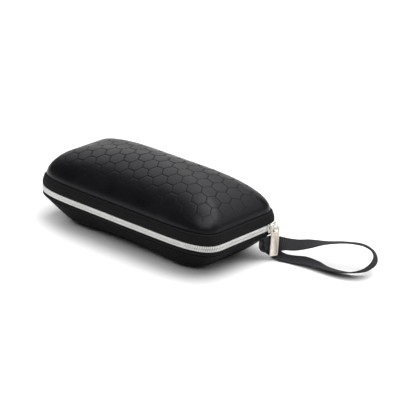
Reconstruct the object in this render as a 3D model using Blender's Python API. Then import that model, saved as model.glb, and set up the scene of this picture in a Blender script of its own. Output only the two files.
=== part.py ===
"""Eyeglasses case: an arched, moulded clamshell with a zipper round three sides and a cloth hinge
along the fourth. +X points to the closed end of the zipper, +Y to the hinge, +Z up. Metres.

The two halves are drawn round one rounded-rectangle outline. A section point is (n, z): n is the
distance outside that outline and z the height over the plane between the two rows of teeth."""

import math

import bmesh
import bpy
from mathutils import Matrix, Vector

MM = 0.001

# Outline of the zipper: straight ends and sides with superelliptic corners.
HALF_LENGTH = 82.5 * MM
HALF_WIDTH = 39.25 * MM
STRAIGHT_SIDE = 35.0 * MM
STRAIGHT_END = 20.0 * MM
CORNER_POWER = 3.2
CORNER_STEPS = 8
SIDE_STEPS = 2
END_STEPS = 2

# Heights.
ZIPPER_Z = 22.8 * MM
GROOVE_Z = 9.6 * MM
DOME_HEIGHT = 25.3 * MM
LOWER_TOP_Z = -5.3 * MM
LIP_Z = 4.4 * MM
ARCH_RISE = 4.3 * MM
ARCH_HALF_LENGTH = 50.0 * MM

# Wall layers.
DOME_INSET = 2.4 * MM
COVER = 0.6 * MM
SHELL_OUT = 0.9 * MM
SHELL_IN = 3.1 * MM
LINING_OUT = 3.4 * MM
LINING_IN = 3.9 * MM
LOWER_INSET = 1.0 * MM
LOWER_SHELL_IN = 2.8 * MM
LOWER_LINING_OUT = 3.2 * MM
LOWER_LINING_IN = 3.7 * MM

# Ends of the zipper and of the hinge strip, as distances from the middle of the back side.
TEETH_END_X = 70.0 * MM
STOP_LENGTH = 2.4 * MM
TAPE_END_X = 46.0 * MM
HINGE_HALF_LENGTH = 45.6 * MM

# Slider, link and puller.
SLIDER_Y = 24.2 * MM
SLIDER_LENGTH = 8.0 * MM
SLIDER_HALF_HEIGHT = 4.1 * MM
PLATE_BACK_X = 82.8 * MM
PLATE_THICK = 1.0 * MM
INNER_PLATE_X = 77.3 * MM
INNER_HALF_HEIGHT = 2.7 * MM
CROWN_X = 86.1 * MM
CROWN_Z = 3.2 * MM
CROWN_WIRE = 0.45 * MM
CROWN_HALF_SPAN = 2.9 * MM
LINK_RADIUS = 2.2 * MM
LINK_WIRE = 0.4 * MM
LINK_X = 86.7 * MM
LINK_Z = 2.3 * MM
PULLER_BAR_Z = 1.35 * MM
PULLER_BAR = 0.5 * MM
PULLER_WIDTH = 6.0 * MM
PULLER_THICK = 1.2 * MM
PULLER_LENGTH = 20.8 * MM
PULLER_EYE_WIDTH = 4.0 * MM
PULLER_EYE_HEIGHT = 2.9 * MM
PULLER_LEAN = math.radians(3.5)
PULLER_TURN = math.radians(20.0)

# Wrist strap.
STRAP_WIDTH = 10.0 * MM
STRAP_THICK = 1.0 * MM

# Moves the middle of the whole case, slider included, over the origin.
SHIFT = Vector((-3.4 * MM, 0.0, ZIPPER_Z))


def clear_scene():
    for obj in list(bpy.data.objects):
        bpy.data.objects.remove(obj, do_unlink=True)


def make_material(name, colour, rough, metal=0.0):
    mat = bpy.data.materials.new(name)
    mat.use_nodes = True
    shader = mat.node_tree.nodes["Principled BSDF"]
    shader.inputs["Base Color"].default_value = (*colour, 1.0)
    shader.inputs["Roughness"].default_value = rough
    shader.inputs["Metallic"].default_value = metal
    mat.diffuse_color = (*colour, 1.0)
    return mat


def corner_point(half_x, half_y, flat_x, flat_y, power, t):
    """Point of the +X +Y corner: t = 0 on the end, t = 1 on the long side."""
    angle = 0.5 * math.pi * t
    x = flat_x + (half_x - flat_x) * math.cos(angle) ** (2.0 / power)
    y = flat_y + (half_y - flat_y) * math.sin(angle) ** (2.0 / power)
    return x, y


def ring(half_x, half_y, power=CORNER_POWER):
    """Closed outline as a list of (x, y), anticlockwise from the middle of the +X end."""
    flat_x = STRAIGHT_SIDE * half_x / HALF_LENGTH
    flat_y = STRAIGHT_END * half_y / HALF_WIDTH
    quarter = [(half_x, flat_y * i / END_STEPS) for i in range(END_STEPS)]
    for i in range(CORNER_STEPS + 1):
        t = i / CORNER_STEPS
        quarter.append(corner_point(half_x, half_y, flat_x, flat_y, power, t))
    quarter += [(flat_x * (1 - i / SIDE_STEPS), half_y) for i in range(1, SIDE_STEPS)]
    half = quarter + [(0.0, half_y)] + [(-x, y) for x, y in reversed(quarter[1:])]
    return half + [(-half_x, 0.0)] + [(x, -y) for x, y in reversed(half[1:])]


def inset_ring(n, power=CORNER_POWER):
    return ring(HALF_LENGTH + n, HALF_WIDTH + n, power)


def add_object(name, bm, material, collection):
    bmesh.ops.recalc_face_normals(bm, faces=bm.faces)
    mesh = bpy.data.meshes.new(name)
    bm.to_mesh(mesh)
    bm.free()
    mesh.transform(Matrix.Translation(SHIFT))
    mesh.materials.append(material)
    obj = bpy.data.objects.new(name, mesh)
    collection.objects.link(obj)
    return obj


def bridge(bm, first, second, closed=True):
    count = len(first)
    for i in range(count if closed else count - 1):
        j = (i + 1) % count
        bm.faces.new((first[i], first[j], second[j], second[i]))


def loft(name, rings, material, collection, apex_first=None, apex_last=None):
    """Skin through closed rings of 3-D points; an apex closes that end, otherwise the last ring
    joins back to the first."""
    bm = bmesh.new()
    loops = [[bm.verts.new(p) for p in points] for points in rings]
    for first, second in zip(loops, loops[1:]):
        bridge(bm, first, second)
    count = len(loops[0])
    for apex, loop in ((apex_first, loops[0]), (apex_last, loops[-1])):
        if apex is not None:
            tip = bm.verts.new(apex)
            for i in range(count):
                bm.faces.new((loop[i], loop[(i + 1) % count], tip))
    if apex_first is None and apex_last is None:
        bridge(bm, loops[-1], loops[0])
    return add_object(name, bm, material, collection)


def sweep(name, path_of, section, material, collection, closed):
    """Sweep of a closed (n, z) section. path_of(n) gives the outline at offset n."""
    bm = bmesh.new()
    strands = []
    for n, z in section:
        strands.append([bm.verts.new((x, y, z)) for x, y in path_of(n)])
    for i, strand in enumerate(strands):
        bridge(bm, strand, strands[(i + 1) % len(strands)], closed)
    if not closed:
        bm.faces.new([strand[0] for strand in strands])
        bm.faces.new([strand[-1] for strand in strands])
        bmesh.ops.triangulate(bm, faces=[f for f in bm.faces if len(f.verts) > 4])
    return add_object(name, bm, material, collection)


def cut_back(points, x):
    """Index of the first outline point of the back side nearer the middle than x, and the point
    of the outline at x."""
    plain = inset_ring(0.0)
    index = next(i for i, point in enumerate(plain) if point[0] < x)
    before, after = points[index - 1], points[index]
    share = (x - before[0]) / (after[0] - before[0])
    return index, (x, before[1] + share * (after[1] - before[1]))


def front_path(end_x):
    """The outline from the back right corner round the front to the back left corner, cut at
    x = +-end_x on the back side."""

    def path(n):
        points = inset_ring(n)
        index, end = cut_back(points, end_x)
        right = [end] + points[index - 1 :: -1]
        right += [(x, -y) for x, y in points[1 : len(points) // 4]]
        middle = [(0.0, -(HALF_WIDTH + n))]
        return right + middle + [(-x, y) for x, y in reversed(right)]

    return path


def back_path(half):
    """The straight back side between x = +-half."""

    def path(n):
        points = inset_ring(n)
        index, end = cut_back(points, half)
        right = [end] + points[index : len(points) // 4]
        middle = [(0.0, HALF_WIDTH + n)]
        return right + middle + [(-x, y) for x, y in reversed(right)]

    return path


def dome_ring(v, depth):
    """Ring of the lid's dome. v = 0 at the groove and 1 at the crown; depth is measured inward."""
    rho = 1.0 - v
    long_share = 1.0 - 0.5 * v - 0.5 * v**2.6
    power = 2.0 + 1.2 * rho**4.5
    half_x = (HALF_LENGTH - DOME_INSET - depth) * long_share
    half_y = (HALF_WIDTH - DOME_INSET - depth) * rho
    z = GROOVE_Z + (DOME_HEIGHT - depth) * (1.0 - rho**1.58) ** 0.53
    return [(x, y, z) for x, y in ring(half_x, half_y, power)]


def dome_apex(depth):
    return (0.0, 0.0, GROOVE_Z + DOME_HEIGHT - depth)


DOME_STEPS = (0.02, 0.06, 0.13, 0.23, 0.36, 0.52, 0.72, 0.9)


def under_height(x, depth):
    rise = max(0.0, 1.0 - (x / ARCH_HALF_LENGTH) ** 2)
    return -ZIPPER_Z + depth + ARCH_RISE * rise


def base_ring(u, depth):
    """Ring of the base's wall. u = 0 under the zipper band and 1 on the underside."""
    rounding = max(0.0, (u - 0.7) / 0.3) ** 2.2
    half_x = HALF_LENGTH - LOWER_INSET - depth - 20.0 * MM * u - 6.0 * MM * rounding
    half_y = HALF_WIDTH - LOWER_INSET - depth - 10.0 * MM * u - 6.0 * MM * rounding
    power = CORNER_POWER - 0.6 * u
    fall = u ** 0.94 if u < 1.0 else 1.0
    points = []
    for x, y in ring(half_x, half_y, power):
        bottom = under_height(x, depth)
        points.append((x, y, LOWER_TOP_Z + (bottom - LOWER_TOP_Z) * fall))
    return points


def under_ring(share, depth):
    """Ring on the underside, shrunk from its rim by share."""
    rim = base_ring(1.0, depth)
    points = []
    for x, y, z in rim:
        points.append((x * share, y * share, under_height(x * share, depth)))
    return points


BASE_STEPS = (0.0, 0.2, 0.45, 0.7, 0.84, 0.94, 1.0)
UNDER_STEPS = (0.9, 0.7, 0.45, 0.2)


def build_shells(mats, collection):
    # Lid: a vertical lip behind the zipper band, then the dome.
    lip_out = HALF_LENGTH - DOME_INSET - SHELL_OUT, HALF_WIDTH - DOME_INSET - SHELL_OUT
    lip_in = HALF_LENGTH - DOME_INSET - SHELL_IN, HALF_WIDTH - DOME_INSET - SHELL_IN
    outer = [[(x, y, LIP_Z) for x, y in ring(*lip_out)]]
    outer.append([(x, y, GROOVE_Z) for x, y in ring(*lip_out)])
    outer += [dome_ring(v, SHELL_OUT) for v in DOME_STEPS]
    inner = [[(x, y, LIP_Z) for x, y in ring(*lip_in)]]
    inner.append([(x, y, GROOVE_Z) for x, y in ring(*lip_in)])
    inner += [dome_ring(v, SHELL_IN) for v in DOME_STEPS]
    loft(
        "upper_shell", outer[::-1] + inner, mats["foam"], collection,
        dome_apex(SHELL_OUT), dome_apex(SHELL_IN),
    )

    # Embossed cover on the dome only; its edge is tucked into the groove.
    edge = GROOVE_Z + 0.3 * MM
    outer = [[(x, y, edge) for x, y in inset_ring(-DOME_INSET)]]
    outer += [dome_ring(v, 0.0) for v in DOME_STEPS]
    inner = [[(x, y, edge) for x, y in inset_ring(-DOME_INSET - COVER)]]
    inner += [dome_ring(v, COVER) for v in DOME_STEPS]
    loft(
        "upper_cover", outer[::-1] + inner, mats["cover"], collection,
        dome_apex(0.0), dome_apex(COVER),
    )

    outer = [[(x, y, LIP_Z) for x, y in inset_ring(-DOME_INSET - LINING_OUT)]]
    outer.append([(x, y, GROOVE_Z) for x, y in inset_ring(-DOME_INSET - LINING_OUT)])
    outer += [dome_ring(v, LINING_OUT) for v in DOME_STEPS]
    inner = [[(x, y, LIP_Z) for x, y in inset_ring(-DOME_INSET - LINING_IN)]]
    inner.append([(x, y, GROOVE_Z) for x, y in inset_ring(-DOME_INSET - LINING_IN)])
    inner += [dome_ring(v, LINING_IN) for v in DOME_STEPS]
    loft(
        "upper_lining", outer[::-1] + inner, mats["lining"], collection,
        dome_apex(LINING_OUT), dome_apex(LINING_IN),
    )

    # Base: the wall's top carries a narrower lip that stands behind the zipper band.
    lip_out = -2.9 * MM
    lip_in = -LOWER_INSET - LOWER_SHELL_IN
    outer = [[(x, y, -LIP_Z) for x, y in inset_ring(lip_out)]]
    outer.append([(x, y, LOWER_TOP_Z) for x, y in inset_ring(lip_out)])
    outer += [base_ring(u, 0.0) for u in BASE_STEPS]
    outer += [under_ring(s, 0.0) for s in UNDER_STEPS]
    inner = [[(x, y, -LIP_Z) for x, y in inset_ring(lip_in)]]
    inner += [base_ring(u, LOWER_SHELL_IN) for u in BASE_STEPS]
    inner += [under_ring(s, LOWER_SHELL_IN) for s in UNDER_STEPS]
    loft(
        "lower_shell", outer[::-1] + inner, mats["foam"], collection,
        (0.0, 0.0, under_height(0.0, 0.0)), (0.0, 0.0, under_height(0.0, LOWER_SHELL_IN)),
    )

    top = -LIP_Z
    outer = [[(x, y, top) for x, y in inset_ring(-LOWER_INSET - LOWER_LINING_OUT)]]
    outer += [base_ring(u, LOWER_LINING_OUT) for u in BASE_STEPS]
    outer += [under_ring(s, LOWER_LINING_OUT) for s in UNDER_STEPS]
    inner = [[(x, y, top) for x, y in inset_ring(-LOWER_INSET - LOWER_LINING_IN)]]
    inner += [base_ring(u, LOWER_LINING_IN) for u in BASE_STEPS]
    inner += [under_ring(s, LOWER_LINING_IN) for s in UNDER_STEPS]
    loft(
        "lower_lining", outer[::-1] + inner, mats["lining"], collection,
        (0.0, 0.0, under_height(0.0, LOWER_LINING_OUT)),
        (0.0, 0.0, under_height(0.0, LOWER_LINING_IN)),
    )


def millimetres(*pairs):
    return [(n * MM, z * MM) for n, z in pairs]


def flipped(section):
    return [(n, -z) for n, z in section]


def build_bands(mats, collection):
    upper_band = millimetres(
        (-1.3, 0.35), (-1.3, 2.35), (-0.25, 2.5), (-0.1, 3.7), (-0.35, 5.7), (-0.95, 7.9),
        (-1.7, 9.3), (-3.0, 9.3), (-3.0, 3.6), (-1.9, 3.2), (-1.9, 0.35),
    )
    lower_band = millimetres(
        (-1.3, -0.35), (-1.3, -2.35), (-0.25, -2.5), (-0.05, -3.8), (-0.3, -5.0),
        (-2.6, -5.0), (-2.6, -3.6), (-1.9, -3.2), (-1.9, -0.35),
    )
    tape = front_path(TAPE_END_X)
    sweep("upper_tape", tape, upper_band, mats["tape"], collection, False)
    sweep("lower_tape", tape, lower_band, mats["tape"], collection, False)

    upper_leaf = millimetres(
        (-0.1, 0.2), (-0.1, 3.7), (-0.35, 5.7), (-0.95, 7.9), (-1.7, 9.3), (-3.0, 9.3),
        (-3.0, 3.6), (-1.9, 3.2), (-1.9, 0.2),
    )
    lower_leaf = millimetres(
        (-0.1, -0.2), (-0.05, -3.8), (-0.3, -5.0), (-2.6, -5.0), (-2.6, -3.6),
        (-1.9, -3.2), (-1.9, -0.2),
    )
    back = back_path(HINGE_HALF_LENGTH)
    sweep("hinge_upper", back, upper_leaf, mats["tape"], collection, False)
    sweep("hinge_lower", back, lower_leaf, mats["tape"], collection, False)

    teeth = millimetres((-1.0, 0.55), (0.0, 0.55), (0.0, 2.05), (-1.0, 2.05))
    row = front_path(TEETH_END_X)
    sweep("upper_teeth", row, teeth, mats["teeth"], collection, False)
    sweep("lower_teeth", row, flipped(teeth), mats["teeth"], collection, False)

    # Binding: an angle strip under the edge of the wall and up its inner face.
    upper_edge = millimetres(
        (-3.3, 3.6), (-3.3, 4.1), (-6.6, 4.1), (-6.6, 8.5), (-7.1, 8.5), (-7.1, 3.6),
    )
    lower_edge = millimetres(
        (-2.9, -3.6), (-2.9, -4.1), (-5.0, -4.1), (-5.0, -5.1), (-5.6, -5.1), (-5.6, -3.6),
    )
    sweep("upper_binding", inset_ring, upper_edge, mats["binding"], collection, True)
    sweep("lower_binding", inset_ring, lower_edge, mats["binding"], collection, True)


def box(bm, low, high):
    size = Vector(high) - Vector(low)
    centre = (Vector(high) + Vector(low)) / 2
    matrix = Matrix.Translation(centre) @ Matrix.Diagonal((*size, 1.0))
    return bmesh.ops.create_cube(bm, size=1.0, matrix=matrix)["verts"]


def build_stops(mats, collection):
    """Crimped end stops, one past each end of each row of teeth."""
    for side, sign in (("right", 1.0), ("left", -1.0)):
        points = front_path(TEETH_END_X)(-0.5 * MM)
        x, y = points[0]
        slope = math.atan2(points[1][1] - y, points[1][0] - x)
        for half, up in (("upper", 1.0), ("lower", -1.0)):
            bm = bmesh.new()
            box(
                bm,
                (-STOP_LENGTH - 0.3 * MM, -0.5 * MM, 0.5 * MM),
                (-0.3 * MM, 0.5 * MM, 2.2 * MM),
            )
            bmesh.ops.bevel(
                bm, geom=list(bm.edges), offset=0.15 * MM, segments=1, affect="EDGES",
            )
            place = Matrix.Translation((x, y, 0.0)) @ Matrix.Rotation(slope, 4, "Z")
            bmesh.ops.transform(bm, matrix=place, verts=bm.verts)
            bmesh.ops.scale(bm, vec=(sign, 1.0, up), verts=bm.verts)
            add_object(f"stop_{half}_{side}", bm, mats["metal"], collection)


def mesh_from_modifiers(name, bm, material, collection, modifiers):
    obj = add_object(name, bm, material, collection)
    for kind, settings in modifiers:
        modifier = obj.modifiers.new(kind.title(), kind)
        for key, value in settings.items():
            setattr(modifier, key, value)
    return obj


def build_slider(mats, collection):
    """Two plates joined by a thin web that runs between the rows of teeth."""
    low_y = SLIDER_Y - SLIDER_LENGTH / 2
    high_y = SLIDER_Y + SLIDER_LENGTH / 2
    bm = bmesh.new()
    half = SLIDER_HALF_HEIGHT
    inner = INNER_HALF_HEIGHT
    web = 0.25 * MM
    front = PLATE_BACK_X + PLATE_THICK
    profile = [
        (front, -half), (front, half), (PLATE_BACK_X, half), (PLATE_BACK_X, web),
        (INNER_PLATE_X + PLATE_THICK, web), (INNER_PLATE_X + PLATE_THICK, inner),
        (INNER_PLATE_X, inner), (INNER_PLATE_X, -inner), (INNER_PLATE_X + PLATE_THICK, -inner),
        (INNER_PLATE_X + PLATE_THICK, -web), (PLATE_BACK_X, -web), (PLATE_BACK_X, -half),
    ]
    face = bm.faces.new([bm.verts.new((x, low_y, z)) for x, z in profile])
    side = bmesh.ops.extrude_face_region(bm, geom=[face])
    moved = [v for v in side["geom"] if isinstance(v, bmesh.types.BMVert)]
    bmesh.ops.translate(bm, vec=(0.0, high_y - low_y, 0.0), verts=moved)
    rim = []
    for edge in bm.edges:
        ends = [v.co for v in edge.verts]
        on_front = all(abs(co.x - front) < 1e-6 for co in ends)
        at_corner = all(abs(abs(co.z) - half) < 1e-6 for co in ends)
        if on_front or (at_corner and abs(ends[0].y - ends[1].y) < 1e-6):
            rim.append(edge)
    bmesh.ops.bevel(bm, geom=rim, offset=0.3 * MM, segments=2, affect="EDGES", profile=0.5)
    add_object("slider_body", bm, mats["metal"], collection)

    # Crown: a wire arch over the outer plate, standing 0.3 mm off it.
    foot_x = front + 0.3 * MM
    rise = CROWN_X - foot_x
    points = [Vector((foot_x, SLIDER_Y - CROWN_HALF_SPAN, CROWN_Z))]
    for i in range(5):
        angle = 0.5 * math.pi * i / 4
        y = SLIDER_Y - CROWN_HALF_SPAN + 1.2 * MM * (1 - math.cos(angle))
        points.append(Vector((CROWN_X - 1.2 * MM * (1 - math.sin(angle)), y, CROWN_Z)))
    points += [Vector((p.x, 2 * SLIDER_Y - p.y, p.z)) for p in reversed(points)]
    assert rise > 1.2 * MM
    curve = bpy.data.curves.new("crown_path", "CURVE")
    curve.dimensions = "3D"
    curve.bevel_depth = CROWN_WIRE
    curve.bevel_resolution = 2
    curve.use_fill_caps = True
    spline = curve.splines.new("POLY")
    spline.points.add(len(points) - 1)
    for place, point in zip(spline.points, points):
        place.co = (*point, 1.0)
    carrier = bpy.data.objects.new("crown_path", curve)
    collection.objects.link(carrier)
    bpy.context.view_layer.update()
    mesh = bpy.data.meshes.new_from_object(carrier.evaluated_get(
        bpy.context.evaluated_depsgraph_get()))
    bpy.data.objects.remove(carrier, do_unlink=True)
    bm = bmesh.new()
    bm.from_mesh(mesh)
    bmesh.ops.remove_doubles(bm, verts=bm.verts, dist=1e-7)
    add_object("slider_bail", bm, mats["metal"], collection)


def build_puller(mats, collection):
    bpy.ops.mesh.primitive_torus_add(
        major_radius=LINK_RADIUS, minor_radius=LINK_WIRE, major_segments=24, minor_segments=8,
        rotation=(math.pi / 2, 0.0, 0.0),
    )
    source = bpy.context.active_object
    bm = bmesh.new()
    bm.from_mesh(source.data)
    bmesh.ops.transform(bm, matrix=source.matrix_world, verts=bm.verts)
    bpy.data.objects.remove(source, do_unlink=True)
    bmesh.ops.translate(bm, vec=(LINK_X, SLIDER_Y, LINK_Z), verts=bm.verts)
    add_object("puller_link", bm, mats["metal"], collection)

    # Puller: a flat bar with a rectangular eye, drawn in Y and Z round its eye bar.
    half = PULLER_WIDTH / 2
    top = PULLER_BAR
    bottom = top - PULLER_LENGTH
    eye_top = -PULLER_BAR
    eye_low = eye_top - PULLER_EYE_HEIGHT
    eye_half = PULLER_EYE_WIDTH / 2
    bm = bmesh.new()
    columns = (-half, -eye_half, eye_half, half)
    rows = (top, eye_top, eye_low, bottom)
    grid = [[bm.verts.new((0.0, y, z)) for y in columns] for z in rows]
    for i in range(3):
        for j in range(3):
            if (i, j) == (1, 1):
                continue
            bm.faces.new((grid[i][j], grid[i][j + 1], grid[i + 1][j + 1], grid[i + 1][j]))
    bmesh.ops.recalc_face_normals(bm, faces=bm.faces)
    solid = bmesh.ops.extrude_face_region(bm, geom=list(bm.faces))
    moved = [v for v in solid["geom"] if isinstance(v, bmesh.types.BMVert)]
    bmesh.ops.translate(bm, vec=(PULLER_THICK, 0.0, 0.0), verts=moved)
    bmesh.ops.translate(bm, vec=(-PULLER_THICK / 2, 0.0, 0.0), verts=bm.verts)
    # The eye bar is thinner than the plate, so it can turn inside the link.
    for vert in bm.verts:
        if vert.co.z > eye_top - 1e-6:
            vert.co.x *= 2 * PULLER_BAR / PULLER_THICK * 0.8
    corners = []
    for edge in bm.edges:
        a, b = (v.co for v in edge.verts)
        outer = abs(abs(a.y) - half) < 1e-6 and abs(a.y - b.y) < 1e-6
        if outer and abs(a.z - b.z) < 1e-6 and (a.z < bottom + 1e-6 or a.z > top - 1e-6):
            corners.append(edge)
    bmesh.ops.bevel(bm, geom=corners, offset=0.6 * MM, segments=2, affect="EDGES")
    place = Matrix.Translation((LINK_X, SLIDER_Y, PULLER_BAR_Z))
    place = place @ Matrix.Rotation(-PULLER_TURN, 4, "Z")
    place = place @ Matrix.Rotation(-PULLER_LEAN, 4, "X")
    bmesh.ops.transform(bm, matrix=place, verts=bm.verts)
    add_object("puller", bm, mats["metal"], collection)


# Stations of the wrist strap: middle of the ribbon and the direction of its width, in
# millimetres round the middle of the zipper outline.
STRAP = (
    # hangs out of the seam under the slider
    ((82.3, 19.5, -5.6), (0.0, 1.0, 0.0)),
    ((82.3, 19.3, -8.0), (0.0, 1.0, 0.2)),
    # folds on the diagonal towards the back
    ((82.4, 18.7, -9.9), (0.0, 1.0, 0.45)),
    ((82.4, 22.5, -13.0), (0.0, 0.7, 0.8)),
    ((82.6, 26.5, -16.5), (0.0, 0.7, 0.7)),
    # drops under the puller and lies down
    ((85.2, 28.5, -20.3), (-0.3, 0.8, 0.25)),
    ((89.5, 29.5, -21.2), (-0.5, 0.8, 0.1)),
    ((96.0, 31.5, -21.2), (-0.5, 0.8, 0.1)),
    ((105.0, 33.0, -20.0), (-0.6, 0.8, 0.1)),
    ((113.0, 34.0, -20.0), (-0.5, 0.8, 0.0)),
    ((122.0, 34.5, -20.5), (-0.5, 0.8, -0.2)),
    ((132.0, 35.5, -20.0), (-0.5, 0.8, -0.3)),
    # far bend of the loop, standing on one edge
    ((141.0, 38.5, -19.0), (-0.5, 0.7, -0.4)),
    ((147.0, 43.5, -17.0), (-0.4, 0.75, -0.5)),
    ((149.0, 49.5, -14.0), (-0.3, 0.8, -0.5)),
    ((147.5, 54.0, -11.0), (-0.3, 0.8, -0.5)),
    ((143.0, 56.0, -8.0), (-0.4, 0.8, -0.4)),
    # comes back above the lower run
    ((135.0, 55.0, -6.0), (-0.5, 0.8, -0.3)),
    ((125.0, 50.0, -6.0), (-0.6, 0.7, -0.3)),
    ((114.5, 43.5, -7.5), (-0.6, 0.8, -0.2)),
    ((105.0, 38.0, -9.5), (-0.6, 0.75, 0.2)),
    ((96.0, 35.0, -12.0), (-0.45, 0.75, 0.4)),
    ((88.5, 32.0, -12.6), (-0.35, 0.7, 0.55)),
    # passes behind the puller and folds up into the same seam
    ((83.9, 27.5, -12.2), (0.0, 0.3, 0.95)),
    ((83.8, 22.5, -10.8), (0.0, 0.75, 0.75)),
    ((83.6, 21.0, -7.6), (0.0, 1.0, 0.2)),
    ((83.5, 20.8, -5.4), (0.0, 1.0, 0.0)),
)
STRAP_FOLDS = (2, 24)       # stations on a folded corner, where the ribbon lies doubled
FOLD_STRETCH = 1.15


def build_strap(mats, collection):
    bm = bmesh.new()
    centres = [Vector(c) * MM for c, _ in STRAP]
    loops = []
    for i, (_, wide) in enumerate(STRAP):
        before = centres[max(i - 1, 0)]
        after = centres[min(i + 1, len(centres) - 1)]
        along = (after - before).normalized()
        across = Vector(wide)
        across -= along * across.dot(along)
        across.normalize()
        normal = along.cross(across)
        half = across * STRAP_WIDTH / 2
        if i in STRAP_FOLDS:
            half = half * FOLD_STRETCH
        skin = normal * STRAP_THICK / 2
        corners = (half + skin, -half + skin, -half - skin, half - skin)
        loops.append([bm.verts.new(centres[i] + corner) for corner in corners])
    for first, second in zip(loops, loops[1:]):
        bridge(bm, first, second)
    bm.faces.new(loops[0])
    bm.faces.new(loops[-1])
    bmesh.ops.triangulate(bm, faces=bm.faces)
    add_object("wrist_strap", bm, mats["strap"], collection)


def main():
    clear_scene()
    collection = bpy.data.collections.new("eyeglasses_case")
    bpy.context.scene.collection.children.link(collection)
    layer = bpy.context.view_layer.layer_collection.children[collection.name]
    bpy.context.view_layer.active_layer_collection = layer
    mats = {
        "foam": make_material("foam", (0.025, 0.025, 0.028), 0.75),
        "cover": make_material("cover", (0.03, 0.03, 0.033), 0.5),
        "lining": make_material("lining", (0.05, 0.05, 0.055), 0.95),
        "tape": make_material("tape", (0.02, 0.02, 0.022), 0.85),
        "binding": make_material("binding", (0.025, 0.025, 0.027), 0.85),
        "teeth": make_material("teeth", (0.62, 0.62, 0.6), 0.35, 0.6),
        "metal": make_material("metal", (0.68, 0.63, 0.56), 0.3, 1.0),
        "strap": make_material("strap", (0.03, 0.03, 0.032), 0.8),
    }
    build_shells(mats, collection)
    build_bands(mats, collection)
    build_stops(mats, collection)
    build_slider(mats, collection)
    build_puller(mats, collection)
    build_strap(mats, collection)


main()
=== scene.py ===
"""Looks of the eyeglasses case: moulded shells, zipper, bands, slider, puller and wrist strap."""

import math

import bmesh
import bpy
import numpy as np
from mathutils import Matrix, Vector


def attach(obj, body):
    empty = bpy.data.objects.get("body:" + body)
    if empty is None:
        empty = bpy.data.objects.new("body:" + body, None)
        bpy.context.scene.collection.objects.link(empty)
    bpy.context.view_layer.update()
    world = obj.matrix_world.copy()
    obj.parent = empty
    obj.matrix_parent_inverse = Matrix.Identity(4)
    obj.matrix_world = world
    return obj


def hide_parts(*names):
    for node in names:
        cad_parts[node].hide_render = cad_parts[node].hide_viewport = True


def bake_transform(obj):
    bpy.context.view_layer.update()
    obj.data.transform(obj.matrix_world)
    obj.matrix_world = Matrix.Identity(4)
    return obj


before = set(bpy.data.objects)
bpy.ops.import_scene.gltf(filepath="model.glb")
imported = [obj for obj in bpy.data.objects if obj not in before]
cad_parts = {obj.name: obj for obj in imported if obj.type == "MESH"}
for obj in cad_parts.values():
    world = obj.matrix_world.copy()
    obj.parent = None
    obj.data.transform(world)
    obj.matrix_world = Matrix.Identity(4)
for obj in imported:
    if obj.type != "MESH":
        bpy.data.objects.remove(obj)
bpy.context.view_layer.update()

MM = 0.001

# The middle of the zipper outline in the row frame; everything below is drawn round it in mm.
MIDDLE = np.array((-3.4, 0.0, 22.8))

# Outline at the zipper.
HALF_LENGTH = 82.5
HALF_WIDTH = 39.25
STRAIGHT_SIDE = 35.0        # X where a straight side ends
STRAIGHT_END = 20.0         # Y where a straight end ends
CORNER_POWER = 3.2

# Lid: the cover starts at the groove above the band.
GROOVE_Z = 9.6
DOME_HEIGHT = 25.3
DOME_INSET = 2.4
DOME_ACROSS_POWER = 1.58    # the two powers of the dome's section
DOME_RISE_POWER = 0.53
LID_LINING_DEPTH = 3.9

# Base: leans in to the feet, and its underside arches between them.
LOWER_TOP_Z = -5.3
LOWER_INSET = 1.0
LOWER_LEAN_X = 20.0
LOWER_LEAN_Y = 10.0
LOWER_ROUNDING = 6.0
LOWER_WALL = 2.8
LOWER_LINING_DEPTH = 3.7
FLOOR_Z = -22.8
ARCH_RISE = 4.3
ARCH_HALF_LENGTH = 50.0

# Zipper and cloth hinge. The teeth end at X = +-TEETH_END on the back side.
HINGE_HALF = 45.7
TEETH_END = 70.0
TOOTH_PITCH = 1.25
BAND_STEP = 1.1

# Slider, wire link and puller.
SLIDER_Y = 24.2
SLIDER_FACE_X = 83.8
CROWN_Z = 3.2
LINK_X = 86.7
LINK_Z = 2.3
LINK_RADIUS = 2.2
WIRE_RADIUS = 0.4
PULLER_Z = 1.35

# Embossed hexagons: distance between opposite flats, and where one cell's middle is.
HEX_PITCH = 10.4
HEX_X = 5.1
HEX_Y = 0.0
GROOVE_WIDTH = 0.55
GROOVE_DEPTH = 0.17
PILLOW_HEIGHT = 0.02


# ---------------------------------------------------------------- geometry helpers

def corner(half_x, half_y, power, s):
    """Quarter of the outline. s runs 0-1 on the straight end, 1-2 round the corner and 2-3 on the
    straight side."""
    s = np.asarray(s, float)
    flat_x = STRAIGHT_SIDE * half_x / HALF_LENGTH
    flat_y = STRAIGHT_END * half_y / HALF_WIDTH
    angle = 0.5 * math.pi * np.clip(s - 1.0, 0.0, 1.0)
    x = flat_x + (half_x - flat_x) * np.cos(angle) ** (2.0 / power)
    y = flat_y + (half_y - flat_y) * np.sin(angle) ** (2.0 / power)
    x = np.where(s > 2.0, flat_x * (3.0 - s), x)
    y = np.where(s < 1.0, flat_y * s, y)
    return np.stack([x, y], -1)


def spaced(step):
    """Values of s that are step mm apart on the zipper outline."""
    dense = np.linspace(0.0, 3.0, 24001)
    line = corner(HALF_LENGTH, HALF_WIDTH, CORNER_POWER, dense)
    run = np.concatenate([[0.0], np.cumsum(np.linalg.norm(np.diff(line, axis=0), axis=1))])
    count = max(8, int(round(run[-1] / step)))
    return np.interp(np.linspace(0.0, run[-1], count + 1), run, dense)


def whole(half_x, half_y, power, s):
    """Closed outline, anticlockwise from the middle of the +X end."""
    quarter = corner(half_x, half_y, power, s)
    upper = np.concatenate([quarter, quarter[-2::-1] * (-1.0, 1.0)])
    return np.concatenate([upper, upper[-2:0:-1] * (1.0, -1.0)])


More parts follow.
